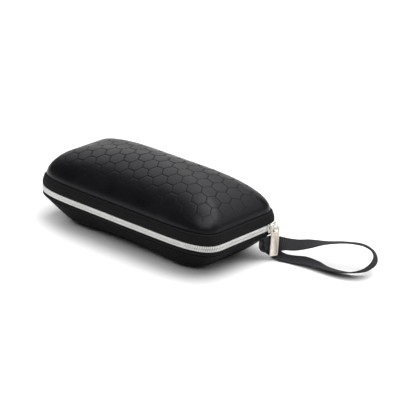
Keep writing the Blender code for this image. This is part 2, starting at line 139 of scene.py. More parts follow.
def closed_ring(offset, s, z):
    """Ring at a level z, offset outward from the zipper outline."""
    flat = whole(HALF_LENGTH + offset, HALF_WIDTH + offset, CORNER_POWER, s)
    return np.column_stack([flat, np.full(len(flat), z)])


def new_mesh(name, points, faces, material, uvs=None):
    """Smooth mesh object from points in mm round MIDDLE. uvs is one pair per point, in mm."""
    mesh = bpy.data.meshes.new(name)
    places = (np.asarray(points, float) + MIDDLE) * MM
    mesh.from_pydata(places.tolist(), [], faces)
    if uvs is not None:
        layer = mesh.uv_layers.new(name="weave")
        index = np.empty(len(mesh.loops), int)
        mesh.loops.foreach_get("vertex_index", index)
        layer.data.foreach_set("uv", np.asarray(uvs, float)[index].ravel())
    mesh.polygons.foreach_set("use_smooth", np.ones(len(mesh.polygons), bool))
    mesh.materials.append(material)
    mesh.update()
    obj = bpy.data.objects.new(name, mesh)
    bpy.context.scene.collection.objects.link(obj)
    return obj


def grid_faces(rows, columns, closed_rows=False, closed_columns=False):
    """Quads of a grid of points, row by row."""
    i = np.arange(rows if closed_rows else rows - 1)[:, None]
    j = np.arange(columns if closed_columns else columns - 1)[None, :]
    a = i * columns + j
    b = i * columns + (j + 1) % columns
    c = ((i + 1) % rows) * columns + (j + 1) % columns
    d = ((i + 1) % rows) * columns + j
    return np.stack([a, b, c, d], -1).reshape(-1, 4).tolist()


def fan(start, columns, tip):
    """Triangles from the ring that begins at start to the point tip."""
    return [[start + j, start + (j + 1) % columns, tip] for j in range(columns)]


def capped(grid):
    """Points and faces of closed rings, the last one filled by a fan."""
    rows, columns = grid.shape[:2]
    points = np.concatenate([grid.reshape(-1, 3), [[0.0, 0.0, grid[-1, :, 2].mean()]]])
    faces = grid_faces(rows, columns, False, True)
    return points, faces + fan((rows - 1) * columns, columns, rows * columns)


def end_caps(rows, columns):
    """First and last ring of a tube of closed rings, as two faces."""
    return [list(range(columns)), [(rows - 1) * columns + i for i in reversed(range(columns))]]


def recalc(obj):
    """Turns every face outward."""
    bm = bmesh.new()
    bm.from_mesh(obj.data)
    bmesh.ops.recalc_face_normals(bm, faces=bm.faces)
    bm.to_mesh(obj.data)
    bm.free()


def c_path(end_x, step, n=0.0):
    """Open path at offset n: back right corner, front, back left corner."""
    dense = np.linspace(1.0, 2.0, 4001)
    line = corner(HALF_LENGTH, HALF_WIDTH, CORNER_POWER, dense)
    cut = np.interp(-end_x, -line[:, 0], dense)
    s = spaced(step)
    back = np.append(s[s < cut - 1e-3], cut)
    right = corner(HALF_LENGTH + n, HALF_WIDTH + n, CORNER_POWER, back)[::-1]
    front = corner(HALF_LENGTH + n, HALF_WIDTH + n, CORNER_POWER, s) * (1.0, -1.0)
    half = np.concatenate([right, front[1:]])
    return np.concatenate([half, half[-2::-1] * (-1.0, 1.0)])


def b_path(half, step, n=0.0):
    """Open path along the back side between x = +-half."""
    x = np.linspace(half, -half, int(2 * half / step) + 1)
    dense = corner(HALF_LENGTH + n, HALF_WIDTH + n, CORNER_POWER, np.linspace(1.0, 3.0, 6001))
    y = np.interp(-np.abs(x), -dense[:, 0], dense[:, 1])
    return np.stack([x, y], -1)


def run_length(path):
    """Length along a path up to each of its points."""
    steps = np.linalg.norm(np.diff(path, axis=0), axis=1)
    return np.concatenate([[0.0], np.cumsum(steps)])


def sweep(name, path_of, section, material, closed_path=False):
    """Closed section of (n, z) swept along a path that depends on n."""
    section = np.asarray(section, float)
    around = run_length(section)
    base = run_length(path_of(0.0))
    points, uvs = [], []
    for (n, z), v in zip(section, around):
        path = path_of(n)
        points.append(np.column_stack([path, np.full(len(path), z)]))
        uvs.append(np.column_stack([base[: len(path)], np.full(len(path), v)]))
    columns = len(points[0])
    faces = grid_faces(len(section), columns, True, closed_path)
    if not closed_path:
        faces.append([i * columns for i in range(len(section))])
        faces.append([i * columns + columns - 1 for i in reversed(range(len(section)))])
    obj = new_mesh(name, np.concatenate(points), faces, material, np.concatenate(uvs))
    recalc(obj)
    return obj


def smooth_section(corners, radius, steps=3):
    """Rounds the corners of a closed (n, z) section."""
    corners = [np.array(c, float) for c in corners]
    out = []
    for i, here in enumerate(corners):
        before, after = corners[i - 1], corners[(i + 1) % len(corners)]
        size = radius[i] if hasattr(radius, "__len__") else radius
        to_b, to_a = before - here, after - here
        size = min(size, 0.45 * np.linalg.norm(to_b), 0.45 * np.linalg.norm(to_a))
        a = here + to_b / np.linalg.norm(to_b) * size
        b = here + to_a / np.linalg.norm(to_a) * size
        for k in range(steps + 1):
            t = k / steps
            out.append((1 - t) ** 2 * a + 2 * t * (1 - t) * here + t * t * b)
    return np.array(out)


def dome(v, depth, s):
    """Rings of the lid's dome for each v, 0 at the groove and 1 at the crown."""
    rings = []
    for share in v:
        rho = 1.0 - share
        long_share = 1.0 - 0.5 * share - 0.5 * share**2.6
        power = 2.0 + 1.2 * rho**4.5        # an ellipse at the crown, CORNER_POWER at the rim
        half_x = (HALF_LENGTH - DOME_INSET - depth) * long_share
        half_y = (HALF_WIDTH - DOME_INSET - depth) * rho
        z = GROOVE_Z + (DOME_HEIGHT - depth) * (1.0 - rho**DOME_ACROSS_POWER) ** DOME_RISE_POWER
        flat = whole(half_x, half_y, power, s)
        rings.append(np.column_stack([flat, np.full(len(flat), z)]))
    return np.array(rings)


def dome_steps(depth, step):
    """Values of v that are step mm apart up the middle of the long side."""
    v = 1.0 - np.linspace(0.0, 1.0, 20001) ** 0.5
    v = np.sort(np.concatenate([v, np.linspace(0, 1, 4001) ** 3]))
    rho = 1.0 - v
    y = (HALF_WIDTH - DOME_INSET - depth) * rho
    z = (DOME_HEIGHT - depth) * (1.0 - rho**DOME_ACROSS_POWER) ** DOME_RISE_POWER
    run = np.concatenate([[0.0], np.cumsum(np.hypot(np.diff(y), np.diff(z)))])
    return np.interp(np.linspace(0.0, run[-1], int(run[-1] / step) + 1), run, v)


def grid_normals(grid):
    """Outward unit normals of rings that run round the object, first ring lowest."""
    around = np.roll(grid, -1, axis=1) - np.roll(grid, 1, axis=1)
    along = np.gradient(grid, axis=0)
    normal = np.cross(around, along)
    size = np.linalg.norm(normal, axis=2, keepdims=True)
    return normal / np.maximum(size, 1e-9)


def unrolled(grid):
    """Flat pattern coordinates of the dome: lengths along the surface, measured from the crown
    and split between X and Y by the way the surface slopes."""
    flat = np.zeros(grid.shape[:2] + (2,))
    flat[-1] = grid[-1, :, :2]
    for i in range(len(grid) - 2, -1, -1):
        step = grid[i] - grid[i + 1]
        around = np.roll(grid[i], -1, axis=0) - np.roll(grid[i], 1, axis=0)
        out = np.stack([around[:, 1], -around[:, 0]], -1)
        out /= np.maximum(np.linalg.norm(out, axis=1, keepdims=True), 1e-9)
        part = np.sum(step[:, :2] * out, axis=1)
        longer = np.sqrt(part**2 + step[:, 2] ** 2)
        flat[i] = flat[i + 1] + step[:, :2] + out * (longer - part)[:, None]
    return flat


def hex_edge(flat):
    """Distance from each pattern point to the nearest edge of its hexagon."""
    unit = np.array([[math.cos(a), math.sin(a)] for a in np.radians((30.0, 90.0, 150.0))])
    p = flat - (HEX_X, HEX_Y)
    wide = HEX_PITCH * math.sqrt(3.0)
    best = None
    for shift in ((0.0, 0.0), (wide / 2, HEX_PITCH / 2)):
        q = p - shift
        cell = np.round(q / (wide, HEX_PITCH))
        offset = q - cell * (wide, HEX_PITCH)
        reach = np.max(np.abs(offset @ unit.T), axis=-1)
        best = reach if best is None else np.minimum(best, reach)
    return HEX_PITCH / 2 - best


# ---------------------------------------------------------------- materials

def start_material(name):
    """New material, with its node tree and its Principled BSDF."""
    mat = bpy.data.materials.new(name)
    mat.use_nodes = True
    tree = mat.node_tree
    shader = tree.nodes["Principled BSDF"]
    return mat, tree, shader


def node(tree, kind, **settings):
    """New node; a setting is an input's value where the node has such an input."""
    made = tree.nodes.new(kind)
    for key, value in settings.items():
        if key in made.inputs:
            made.inputs[key].default_value = value
        else:
            setattr(made, key, value)
    return made


def position_in_mm(tree):
    """Object coordinates, which are metres in the row frame, scaled to mm."""
    coords = node(tree, "ShaderNodeTexCoord")
    scaled = node(tree, "ShaderNodeVectorMath", operation="SCALE")
    scaled.inputs["Scale"].default_value = 1000.0
    tree.links.new(coords.outputs["Object"], scaled.inputs[0])
    return scaled.outputs[0]


def noise(tree, vector, scale, detail=3.0, rough=0.55):
    made = node(tree, "ShaderNodeTexNoise", Scale=scale, Detail=detail, Roughness=rough)
    tree.links.new(vector, made.inputs["Vector"])
    return made.outputs["Fac"]


def mix_colour(tree, factor, low, high, low_at=0.0, high_at=1.0):
    ramp = node(tree, "ShaderNodeValToRGB")
    ramp.color_ramp.elements[0].position = low_at
    ramp.color_ramp.elements[1].position = high_at
    ramp.color_ramp.elements[0].color = (*low, 1.0)
    ramp.color_ramp.elements[1].color = (*high, 1.0)
    tree.links.new(factor, ramp.inputs["Fac"])
    return ramp.outputs["Color"]


def map_range(tree, value, low, high, from_low=0.0, from_high=1.0):
    made = node(tree, "ShaderNodeMapRange")
    made.inputs["From Min"].default_value = from_low
    made.inputs["From Max"].default_value = from_high
    made.inputs["To Min"].default_value = low
    made.inputs["To Max"].default_value = high
    tree.links.new(value, made.inputs["Value"])
    return made.outputs["Result"]


def math_node(tree, operation, a, b=None):
    made = node(tree, "ShaderNodeMath", operation=operation)
    for socket, value in zip(made.inputs, (a, b)):
        if value is None:
            continue
        if isinstance(value, (int, float)):
            socket.default_value = value
        else:
            tree.links.new(value, socket)
    return made.outputs[0]


def bump(tree, shader, height, distance_mm, strength=1.0):
    made = node(tree, "ShaderNodeBump", Strength=strength, Distance=distance_mm * MM)
    tree.links.new(height, made.inputs["Height"])
    tree.links.new(made.outputs["Normal"], shader.inputs["Normal"])


def cover_material():
    """Embossed synthetic leather: a fine pebble grain, with painted shade in the grooves (a darker
    colour and a weaker reflection there).
    """
    mat, tree, shader = start_material("embossed_cover")
    place = position_in_mm(tree)
    grain = node(tree, "ShaderNodeTexVoronoi", Scale=1.9, feature="SMOOTH_F1")
    grain.inputs["Smoothness"].default_value = 0.35
    tree.links.new(place, grain.inputs["Vector"])
    fine = noise(tree, place, 3.2, 4.0, 0.6)
    broad = noise(tree, place, 0.05, 2.0, 0.5)
    # Painted shade in the grooves: the groove mask blends the colour towards the near-black groove
    # colour and lowers the specular level; the rougher surface there is real.
    groove_and_painted_shade = node(tree, "ShaderNodeAttribute", attribute_name="groove_and_painted_shade").outputs["Fac"]
    tone = mix_colour(tree, broad, (0.0024, 0.0024, 0.0032), (0.0048, 0.0047, 0.0061), 0.3, 0.7)
    shade = node(tree, "ShaderNodeMix", data_type="RGBA")
    tree.links.new(groove_and_painted_shade, shade.inputs["Factor"])
    tree.links.new(tone, shade.inputs[6])
    shade.inputs[7].default_value = (0.0015, 0.0015, 0.0018, 1.0)
    tree.links.new(shade.outputs[2], shader.inputs["Base Color"])
    rough = map_range(tree, fine, 0.27, 0.40, 0.3, 0.7)
    tree.links.new(math_node(tree, "ADD", rough, math_node(tree, "MULTIPLY", groove_and_painted_shade, 0.25)),
                   shader.inputs["Roughness"])
    tree.links.new(map_range(tree, groove_and_painted_shade, 0.185, 0.035), shader.inputs["Specular IOR Level"])
    shader.inputs["Specular Tint"].default_value = (0.94, 0.93, 1.0, 1.0)
    height = math_node(tree, "ADD", grain.outputs["Distance"],
                       math_node(tree, "MULTIPLY", fine, 0.5))
    bump(tree, shader, height, 0.05, 0.4)
    return mat


def shell_material():
    """Plain fine-grained skin of the lower half."""
    mat, tree, shader = start_material("plain_cover")
    place = position_in_mm(tree)
    fine = noise(tree, place, 2.6, 5.0, 0.65)
    broad = noise(tree, place, 0.06, 2.0, 0.5)
    tone = mix_colour(tree, broad, (0.0016, 0.0016, 0.0018), (0.0034, 0.0033, 0.0038), 0.3, 0.7)
    tree.links.new(tone, shader.inputs["Base Color"])
    tree.links.new(map_range(tree, fine, 0.45, 0.68, 0.3, 0.7), shader.inputs["Roughness"])
    shader.inputs["Specular IOR Level"].default_value = 0.04
    bump(tree, shader, fine, 0.12, 0.6)
    return mat


def woven_material(name, dark, light, across=0.55, along=0.55, rough=0.85, depth=0.1, slant=1.0):
    """Herringbone tape weave, laid out by the length round the band and up it."""
    mat, tree, shader = start_material(name)
    uv = node(tree, "ShaderNodeUVMap", uv_map="weave")
    split = node(tree, "ShaderNodeSeparateXYZ")
    tree.links.new(uv.outputs["UV"], split.inputs[0])
    u, v = split.outputs[0], split.outputs[1]
    zigzag = math_node(tree, "PINGPONG", v, 1.1)
    lean = math_node(tree, "ADD", u, math_node(tree, "MULTIPLY", zigzag, slant))
    ribs = math_node(tree, "SINE", math_node(tree, "MULTIPLY", lean, 2 * math.pi / across))
    threads = math_node(tree, "SINE", math_node(tree, "MULTIPLY", v, 2 * math.pi / along))
    weave = math_node(tree, "ADD", math_node(tree, "MULTIPLY", ribs, 0.35),
                      math_node(tree, "MULTIPLY", threads, 0.15))
    weave = math_node(tree, "ADD", weave, 0.5)
    place = position_in_mm(tree)
    fuzz = noise(tree, place, 2.2, 4.0, 0.7)
    tone = mix_colour(tree, math_node(tree, "MULTIPLY", weave, fuzz), dark, light, 0.1, 0.6)
    tree.links.new(tone, shader.inputs["Base Color"])
    shader.inputs["Roughness"].default_value = rough
    shader.inputs["Specular IOR Level"].default_value = 0.12
    shader.inputs["Sheen Weight"].default_value = 0.02
    height = math_node(tree, "ADD", weave, math_node(tree, "MULTIPLY", fuzz, 0.4))
    bump(tree, shader, height, depth, 0.8)
    return mat


def velvet_material():
    """Short flock with a faint nap."""
    mat, tree, shader = start_material("flock_lining")
    place = position_in_mm(tree)
    nap = noise(tree, place, 0.12, 3.0, 0.6)
    fuzz = noise(tree, place, 5.0, 3.0, 0.7)
    tone = mix_colour(tree, nap, (0.020, 0.020, 0.023), (0.036, 0.036, 0.040), 0.3, 0.7)
    tree.links.new(tone, shader.inputs["Base Color"])
    shader.inputs["Roughness"].default_value = 0.95
    shader.inputs["Sheen Weight"].default_value = 0.35
    shader.inputs["Sheen Roughness"].default_value = 0.4
    bump(tree, shader, fuzz, 0.12, 0.7)
    return mat


def teeth_material():
    """Silvery grey nylon coil."""
    mat, tree, shader = start_material("zipper_coil")
    place = position_in_mm(tree)
    vary = noise(tree, place, 0.9, 2.0, 0.5)
    tone = mix_colour(tree, vary, (0.68, 0.68, 0.66), (0.80, 0.80, 0.78), 0.3, 0.7)
    tree.links.new(tone, shader.inputs["Base Color"])
    tree.links.new(map_range(tree, vary, 0.34, 0.5), shader.inputs["Roughness"])
    return mat


def metal_material(name, low, high, rough=0.3, metallic=0.75):
    """Plated zinc, brushed along the part."""
    mat, tree, shader = start_material(name)
    place = position_in_mm(tree)
    squeeze = node(tree, "ShaderNodeVectorMath", operation="MULTIPLY")
    squeeze.inputs[1].default_value = (1.0, 1.0, 0.06)
    tree.links.new(place, squeeze.inputs[0])
    lines = noise(tree, squeeze.outputs[0], 5.5, 3.0, 0.6)
    blot = noise(tree, place, 0.5, 2.0, 0.5)
    tone = mix_colour(tree, blot, low, high, 0.3, 0.7)
    tree.links.new(tone, shader.inputs["Base Color"])
    shader.inputs["Metallic"].default_value = metallic
    tree.links.new(map_range(tree, lines, rough - 0.08, rough + 0.14, 0.3, 0.7),
                   shader.inputs["Roughness"])
    bump(tree, shader, lines, 0.02, 0.4)
    return mat


def foam_material():
    """Moulded closed-cell foam."""
    mat, tree, shader = start_material("moulded_foam")
    place = position_in_mm(tree)
    cells = node(tree, "ShaderNodeTexVoronoi", Scale=2.4)
    tree.links.new(place, cells.inputs["Vector"])
    tone = mix_colour(tree, cells.outputs["Distance"], (0.012, 0.012, 0.013),
                      (0.022, 0.022, 0.024))
    tree.links.new(tone, shader.inputs["Base Color"])
    shader.inputs["Roughness"].default_value = 0.8
    bump(tree, shader, cells.outputs["Distance"], 0.08, 0.6)
    return mat


MATS = {
    "cover": cover_material(),
    "shell": shell_material(),
    "band": woven_material("band_weave", (0.0015, 0.0015, 0.0018), (0.010, 0.010, 0.0113)),
    "binding": woven_material("binding_weave", (0.008, 0.008, 0.009), (0.028, 0.028, 0.03)),
    "hinge": woven_material("hinge_weave", (0.005, 0.005, 0.0055), (0.02, 0.02, 0.022), 0.9, 0.5),
    "lining": velvet_material(),
    "teeth": teeth_material(),
    "metal": metal_material("nickel_plate", (0.68, 0.61, 0.53), (0.80, 0.73, 0.65)),
    "slider": metal_material("slider_plate", (0.70, 0.69, 0.65), (0.84, 0.83, 0.79), 0.2,
                             1.0),
    "foam": foam_material(),
    "strap": woven_material("strap_weave", (0.005, 0.005, 0.0058), (0.042, 0.0415, 0.046),
                            1.25, 0.7, 0.8, 0.06, 0.0),
}


# ---------------------------------------------------------------- lid

def build_cover():
    """Embossed cover: the dome with hexagon grooves, and its edge rolled into the seam."""
    s = spaced(0.42)
    grid = dome(dome_steps(0.0, 0.4)[:-1], 0.0, s)
    rim_level = GROOVE_Z + 0.7
    grid[:, :, 2] = np.maximum(grid[:, :, 2], rim_level)
    normal = grid_normals(grid)
    edge = hex_edge(unrolled(grid))
    groove_and_painted_shade = np.clip(1.0 - edge / GROOVE_WIDTH, 0.0, 1.0)
    groove_and_painted_shade = groove_and_painted_shade * groove_and_painted_shade * (3.0 - 2.0 * groove_and_painted_shade)
    # The grooves' depth and their painted shade start a little above the rim, are strongest on top
    # and fade down the walls.
    pattern_start, pattern_rise = GROOVE_Z + 1.2, 1.5
    near_rim = np.clip((grid[:, :, 2] - pattern_start) / pattern_rise, 0.0, 1.0)
    wall_fade, fade_range, least = 0.48, 0.44, 0.1
    groove_and_painted_shade *= near_rim * np.clip((normal[:, :, 2] - wall_fade) / fade_range, least, 1.0)
    pillow = np.clip(edge / (HEX_PITCH / 2), 0.0, 1.0)
    pillow = PILLOW_HEIGHT * (1.0 - (1.0 - pillow) ** 2) * near_rim
    grid = grid + normal * (pillow - GROOVE_DEPTH * groove_and_painted_shade)[:, :, None]

    rolled_edge = ((-3.3, 9.75), (-2.95, 9.72), (-2.62, 9.8), (-2.43, 10.0))
    roll = np.array([closed_ring(n, s, z) for n, z in rolled_edge])
    grid = np.concatenate([roll, grid])
    painted_groove_shade = np.concatenate([np.zeros(roll.shape[:2]), groove_and_painted_shade])
    points, faces = capped(grid)
    obj = new_mesh("cover_embossed", points, faces, MATS["cover"])
    # Painted shade for the grooves, stored as a point attribute that the cover material reads.
    shade = obj.data.attributes.new("groove_and_painted_shade", "FLOAT", "POINT")
    shade.data.foreach_set("value", np.append(painted_groove_shade.ravel(), 0.0))
    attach(obj, "lid")
    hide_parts("upper_cover")


def build_lid_lining():
    """Flock skin inside the dome, slightly uneven, with a short skirt below the groove."""
    s = spaced(1.6)
    grid = dome(dome_steps(LID_LINING_DEPTH, 1.4)[:-1], LID_LINING_DEPTH, s)
    inset = DOME_INSET + LID_LINING_DEPTH
    skirt = np.array([closed_ring(-inset, s, z) for z in (4.45, 6.2, 8.0)])
    grid = np.concatenate([skirt, grid])
    normal = grid_normals(grid)
    wave = 0.10 * np.sin(grid[:, :, 0] * 0.31) * np.sin(grid[:, :, 1] * 0.37 + 0.6)
    points, faces = capped(grid + normal * wave[:, :, None])
    obj = new_mesh("lid_lining", points, faces, MATS["lining"])
    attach(obj, "lid")
    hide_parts("upper_lining")


# Sections of the two bands as (offset from the zipper outline, height), from the coil outward.
UPPER_BAND = (
    (-1.3, 0.3), (-1.3, 2.3), (-0.55, 2.42), (-0.2, 2.75), (-0.1, 3.7), (-0.18, 4.7), (-0.35, 5.7),
    (-0.6, 6.8), (-0.95, 7.8), (-1.15, 8.15), (-1.0, 8.45), (-1.25, 9.0), (-1.8, 9.35),
    (-3.0, 9.3), (-3.0, 3.6), (-1.9, 3.2), (-1.9, 0.3),
)
LOWER_BAND = (
    (-1.3, -0.3), (-1.3, -2.3), (-0.5, -2.42), (-0.15, -2.7), (-0.08, -3.4), (-0.15, -4.3),
    (-0.5, -4.95), (-2.6, -5.0), (-2.6, -3.6), (-1.9, -3.2), (-1.9, -0.3),
)


def build_bands():
    """Woven band of each half, round three sides up to the cloth hinge."""
    def path(n):
        return c_path(HINGE_HALF + 0.2, BAND_STEP, n)

    rows = (("band_upper", UPPER_BAND, "lid", "upper_tape"),
            ("band_lower", LOWER_BAND, "base", "lower_tape"))
    for name, section, body, replaced in rows:
        obj = sweep(name, path, smooth_section(section, 0.3), MATS["band"])
        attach(obj, body)
        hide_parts(replaced)


def build_hinge():
    """One cloth strip over the back seam, which bends between the two halves."""
    # Follows both bands outside, with a shallow dip where it bends.
    outer = list(UPPER_BAND[12:4:-1])
    outer += [(-0.1 - 0.25 * math.exp(-(z / 1.2) ** 2), z) for z in np.arange(3.7, -3.6, -0.3)]
    outer += list(LOWER_BAND[5:7])
    inner = [(-2.6, -5.0), (-2.6, -4.2)]
    inner += [(-1.9, z) for z in np.arange(-3.3, 3.4, 0.3)]
    inner += [(-3.0, 4.2), (-3.0, 9.3)]

    def path(n):
        return b_path(HINGE_HALF, BAND_STEP, n)

    obj = sweep("hinge_cloth", path, outer + inner, MATS["hinge"])
    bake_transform(obj)
    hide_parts("hinge_upper", "hinge_lower")


def along_path(path, places):
    """Points and unit tangents of a path at distances along it."""
    run = run_length(path)

    def at(where):
        return np.stack([np.interp(where, run, path[:, k]) for k in (0, 1)], -1)

    reach = 0.3
    tangent = at(places + reach) - at(places - reach)
    tangent /= np.linalg.norm(tangent, axis=1, keepdims=True)
    return at(places), tangent


def outward_of(tangent):
    """Unit vector out of the case at a tangent of a path."""
    return np.array((-tangent[1], tangent[0]))


def tooth():
    """One coil turn seen from outside: (along, n, z) points and faces of a bent round bar."""
    rings, around = [], 10
    heights = (-0.16, -0.08, 0.15, 0.6, 1.1, 1.6, 1.95, 2.06)
    tall = 2.22
    for z in heights:
        t = (z - heights[0]) / tall
        swell = math.sqrt(max(0.0, 1.0 - (2 * t - 1) ** 8))
        bow = 0.5 - 0.32 * (2 * t - 1) ** 2
        wide = 0.5 * (0.30 + 0.52 * min(1.0, t * 2.6)) * max(swell, 0.35)
        thick = 0.46 * max(swell, 0.3)
        lean = 0.16 * (z - 1.0)
        rings.append([
            (wide * math.cos(a) + lean, -0.3 + 0.5 * (bow - 0.5) + thick * math.sin(a), z)
            for a in np.linspace(0, 2 * math.pi, around, endpoint=False)
        ])
    points = np.array(rings).reshape(-1, 3)
    faces = grid_faces(len(heights), around, False, True)
    return points, faces + end_caps(len(heights), around)


def build_teeth():
    """Both coils, tooth by tooth; the lower one is half a pitch behind."""
    path = c_path(TEETH_END, 0.8)
    total = run_length(path)[-1]
    count = int(total / TOOTH_PITCH)
    template, template_faces = tooth()
    rows = (("coil_upper", 1.0, 0.0, "lid", "upper_teeth"),
            ("coil_lower", -1.0, 0.5, "base", "lower_teeth"))
    for name, up, phase, body, replaced in rows:
        places = (np.arange(count) + 0.25 + phase) * TOOTH_PITCH
        places = places[places < total - 0.3]
        spots, tangents = along_path(path, places)
        points, faces = [], []
        for spot, tangent in zip(spots, tangents):
            outward = outward_of(tangent)
            flat = spot + template[:, :1] * tangent * up + template[:, 1:2] * outward
            start = len(points) * len(template)
            points.append(np.column_stack([flat, template[:, 2] * up]))
            faces += [[start + i for i in face] for face in template_faces]
        obj = new_mesh(name, np.concatenate(points), faces, MATS["teeth"])
        recalc(obj)
        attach(obj, body)
        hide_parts(replaced)


def build_stops():
    """Folded metal clips at the ends of the teeth rows."""
    path = c_path(TEETH_END - 3.0, 0.8)
    spots, tangents = along_path(path, np.array([1.6]))
    spot, tangent = spots[0], tangents[0]
    outward = outward_of(tangent)
    section = smooth_section([(-1.1, 0.5), (-1.1, 2.2), (0.12, 2.2), (0.12, 0.5)], 0.35, 4)
    middle_n, middle_z = -0.5, 1.35
    stations = ((-1.15, 0.78), (-1.0, 0.95), (0.0, 1.0), (1.0, 0.95), (1.15, 0.78))
    count = len(section)
    faces = grid_faces(len(stations), count, False, True) + end_caps(len(stations), count)
    for side, mirror in (("right", 1.0), ("left", -1.0)):
        for half, up, body in (("upper", 1.0, "lid"), ("lower", -1.0, "base")):
            points = []
            for along, grow in stations:
                for n, z in section:
                    n = middle_n + (n - middle_n) * grow
                    z = middle_z + (z - middle_z) * grow
                    xy = spot + tangent * along + outward * n
                    points.append((xy[0] * mirror, xy[1], z * up))
            obj = new_mesh(f"clip_{half}_{side}", points, faces, MATS["slider"])
            recalc(obj)
            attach(obj, body)
            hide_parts(f"stop_{half}_{side}")


def build_bindings():
    """Rolled edge between each shell's rim and its lining."""
    upper = smooth_section(
        [(-3.35, 3.6), (-3.3, 4.1), (-6.5, 4.15), (-6.55, 8.5), (-7.0, 8.45), (-7.1, 3.7)],
        [0.2, 0.1, 0.1, 0.2, 0.2, 0.9], 4)
    lower = smooth_section(
        [(-2.95, -3.6), (-2.9, -4.1), (-5.0, -4.15), (-5.05, -5.1), (-5.45, -5.05), (-5.6, -3.7)],
        [0.2, 0.1, 0.1, 0.15, 0.15, 0.8], 4)
    s = spaced(1.5)

    def ring(n):
        return whole(HALF_LENGTH + n, HALF_WIDTH + n, CORNER_POWER, s)

    rows = (("edge_binding_upper", upper, "lid", "upper_binding"),
            ("edge_binding_lower", lower, "base", "lower_binding"))
    for name, section, body, replaced in rows:
        obj = sweep(name, ring, section, MATS["binding"], closed_path=True)
        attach(obj, body)
        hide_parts(replaced)


# ---------------------------------------------------------------- base

def under_height(x, depth):
    """Height of the arched underside, depth mm above the outer skin."""
    return FLOOR_Z + depth + ARCH_RISE * np.maximum(0.0, 1.0 - (x / ARCH_HALF_LENGTH) ** 2)


def base_rings(steps, depth, s):
    """Rings down the base's wall for each step, 0 at the top and 1 at the foot, and then in
    along the underside."""
    rings = []
    rounding_from = 0.7
    for u in steps:
        rounding = max(0.0, (u - rounding_from) / (1.0 - rounding_from)) ** 2.2
        inward = LOWER_INSET + depth + LOWER_ROUNDING * rounding
        half_x = HALF_LENGTH - inward - LOWER_LEAN_X * u
        half_y = HALF_WIDTH - inward - LOWER_LEAN_Y * u
        flat = whole(half_x, half_y, CORNER_POWER - 0.6 * u, s)
        bottom = under_height(flat[:, 0], depth)
        z = LOWER_TOP_Z + (bottom - LOWER_TOP_Z) * u**0.94
        rings.append(np.column_stack([flat, z]))
    rim = rings[-1]
    for share in np.linspace(0.96, 0.06, 20):
        z = under_height(rim[:, 0] * share, depth)
        rings.append(np.column_stack([rim[:, :2] * share, z]))
    return np.array(rings)


def closed_pot(outer, inner):
    """Outer and inner rings joined at the top, each closed at the bottom by a fan."""
    rows, columns = outer.shape[:2]
    points = np.concatenate([
        outer[::-1].reshape(-1, 3), inner.reshape(-1, 3),
        [[0.0, 0.0, outer[-1, :, 2].mean()], [0.0, 0.0, inner[-1, :, 2].mean()]],
    ])
    total = rows + len(inner)
    faces = grid_faces(total, columns, False, True)
    low, high = total * columns, total * columns + 1
    last = (total - 1) * columns
    faces += [[(j + 1) % columns, j, low] for j in range(columns)]
    faces += fan(last, columns, high)
    return points, faces


def build_lower_shell():
    """Moulded lower half, with a stepped rim that the band sits on."""
    s = spaced(1.2)
    steps = np.concatenate([np.linspace(0.0, 0.7, 15), np.linspace(0.72, 1.0, 15)])
    outer = base_rings(steps, 0.0, s)
    inner = base_rings(steps, LOWER_WALL, s)
    rim = ((-3.7, -4.4), (-2.95, -4.42), (-2.9, -5.25), (-1.5, -5.3), (-1.12, -5.36))
    tops = np.array([closed_ring(n, s, z) for n, z in rim])
    outer[0, :, 2] -= 0.35
    points, faces = closed_pot(np.concatenate([tops, outer]), inner)
    obj = new_mesh("shell_lower", points, faces, MATS["shell"])
    recalc(obj)
    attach(obj, "base")
    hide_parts("lower_shell")


def build_base_lining():
    """Flock skin of the base."""
    s = spaced(1.8)
    lining = base_rings(np.linspace(0.0, 1.0, 18), LOWER_LINING_DEPTH, s)
    top = closed_ring(-(LOWER_INSET + LOWER_LINING_DEPTH), s, -4.4)
    points, faces = capped(np.concatenate([[top], lining]))
    obj = new_mesh("base_lining", points, faces, MATS["lining"])
    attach(obj, "base")
    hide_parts("lower_lining")


# ---------------------------------------------------------------- slider and puller

def plate_from_outline(name, outline, x_low, x_high, material, bevel, hole=None):
    """Plate in the Y-Z plane from x_low to x_high with its edges rounded by bevel."""
    bm = bmesh.new()
    loops = [outline] if hole is None else [outline, hole]
    edges = []
    for loop in loops:
        verts = [bm.verts.new((x_low, y, z)) for y, z in loop]
        edges += [bm.edges.new((verts[i], verts[(i + 1) % len(verts)]))
                  for i in range(len(verts))]
    bmesh.ops.triangle_fill(bm, use_beauty=True, use_dissolve=False, edges=edges)
    solid = bmesh.ops.extrude_face_region(bm, geom=list(bm.faces))
    moved = [v for v in solid["geom"] if isinstance(v, bmesh.types.BMVert)]
    bmesh.ops.translate(bm, vec=(x_high - x_low, 0.0, 0.0), verts=moved)
    bmesh.ops.recalc_face_normals(bm, faces=bm.faces)
    sharp = [e for e in bm.edges if len(e.link_faces) == 2
             and e.calc_face_angle(0.0) > math.radians(60)]
    bmesh.ops.bevel(bm, geom=sharp, offset=bevel, segments=3, profile=0.5, affect="EDGES")
    for vert in bm.verts:
        vert.co = (vert.co + Vector(MIDDLE)) * MM
    mesh = bpy.data.meshes.new(name)
    bm.to_mesh(mesh)
    bm.free()
    mesh.polygons.foreach_set("use_smooth", np.ones(len(mesh.polygons), bool))
    mesh.set_sharp_from_angle(angle=math.radians(40))
    mesh.materials.append(material)
    obj = bpy.data.objects.new(name, mesh)
    bpy.context.scene.collection.objects.link(obj)
    return obj


def rounded_outline(corners, radius, steps=6):
    """Outline of (y, z) pairs with round corners."""
    return [tuple(p) for p in smooth_section(corners, radius, steps)]


